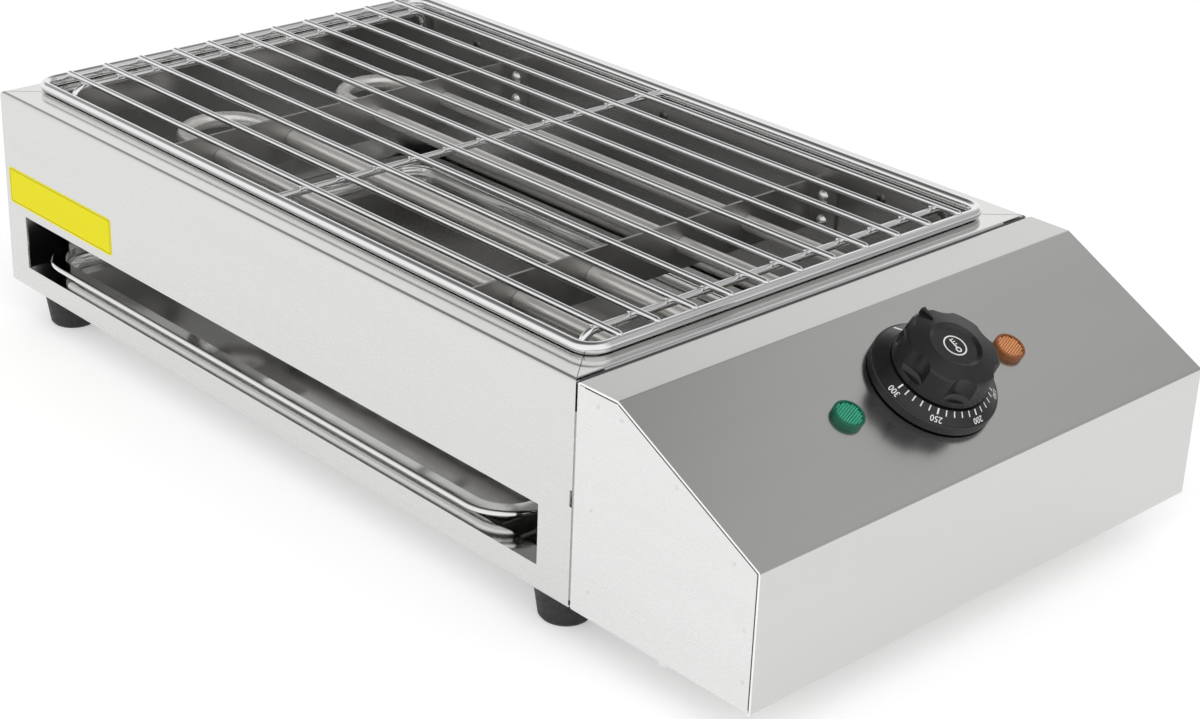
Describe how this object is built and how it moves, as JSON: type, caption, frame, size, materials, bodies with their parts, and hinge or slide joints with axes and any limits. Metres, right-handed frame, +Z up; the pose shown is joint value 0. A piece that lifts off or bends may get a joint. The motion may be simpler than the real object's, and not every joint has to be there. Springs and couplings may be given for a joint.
{
  "type": "electric countertop grill",
  "caption": "Electric countertop grill: folded stainless case with mitred top, lift-off wire grate over tubular elements, slide-out drip tray and a sloped control box with a dial and pilot lamps.",
  "frame": {"origin": "centre of the bounding box's bottom face, on the surface under the feet", "axes": "+Y runs from the control box to the back panel, +X to the right seen from the control box, +Z up"},
  "size_m": [0.3092, 0.568, 0.1441],
  "materials": {
    "case_steel": "brushed",
    "liner_steel": "satin, slightly darker inside",
    "grate_wire": "bright plated wire",
    "element_tube": "smooth drawn tube",
    "tray_steel": "polished",
    "fastener_steel": "plated",
    "knob_plastic": "fine moulded texture",
    "lens_green": "moulded waffle lens",
    "lens_orange": "moulded waffle lens",
    "white_plastic": "moulded",
    "ceramic_white": "glazed ceramic, stood in by gloss plastic",
    "brass": "plain",
    "foot_rubber": "matt black",
    "wire_insulation": "heat-resistant sleeve",
    "label_yellow": "plain adhesive label"
  },
  "bodies": {
    "case": {"left_side_panel": "case_steel", "right_side_panel": "case_steel", "back_panel": "case_steel", "front_bulkhead": "case_steel", "base_plate": "liner_steel", "liner_left": "liner_steel", "liner_right": "liner_steel", "liner_back": "liner_steel", "liner_front": "liner_steel", "liner_brackets": "liner_steel", "liner_rivets": "fastener_steel", "foot_front_left": "foot_rubber", "foot_front_right": "foot_rubber", "foot_back_left": "foot_rubber", "foot_back_right": "foot_rubber", "foot_screws": "fastener_steel", "element_left": "element_tube", "element_right": "element_tube", "element_strip_front": "liner_steel", "element_strip_back": "liner_steel", "strip_screws": "fastener_steel", "element_insulators": "ceramic_white", "element_studs": "fastener_steel", "element_nuts": "brass", "tray_rail_front": "liner_steel", "tray_rail_back": "liner_steel", "control_cover": "case_steel", "control_left_plate": "case_steel", "control_right_plate": "case_steel", "control_base": "liner_steel", "control_base_screws": "fastener_steel", "thermostat_body": "ceramic_white", "thermostat_bush": "fastener_steel", "thermostat_screws": "fastener_steel", "thermostat_tabs": "brass", "capillary": "brass", "sensing_bulb": "brass", "bulb_clips": "fastener_steel", "lamp_lens_green": "lens_green", "lamp_lens_orange": "lens_orange", "lamp_bodies": "white_plastic", "lamp_clips": "fastener_steel", "terminal_block": "ceramic_white", "terminal_screws": "brass", "earth_stud": "brass", "wiring": "wire_insulation", "cord_bush": "foot_rubber", "cord_bush_nut": "foot_rubber", "side_label": "label_yellow"},
    "grate": {"grate_rim": "grate_wire", "grate_bars": "grate_wire", "grate_cross_bars": "grate_wire"},
    "tray": {"drip_tray": "tray_steel"},
    "knob": {"dial_skirt": "knob_plastic", "knob_grip": "knob_plastic", "knob_insert": "knob_plastic", "knob_spindle": "fastener_steel"}
  },
  "joints": [
    {"name": "grate_lift", "type": "slide", "parent": "case", "child": "grate", "axis": [0, 0, 1], "range_m": [0, 0.12]},
    {"name": "tray_slide", "type": "slide", "parent": "case", "child": "tray", "axis": [-1, 0, 0], "range_m": [0, 0.27]},
    {"name": "knob_turn", "type": "hinge", "parent": "case", "child": "knob", "pos_m": [-0.0044, -0.2416, 0.11076], "axis": [0, -0.4599, 0.888], "range_deg": [0, 270]}
  ]
}
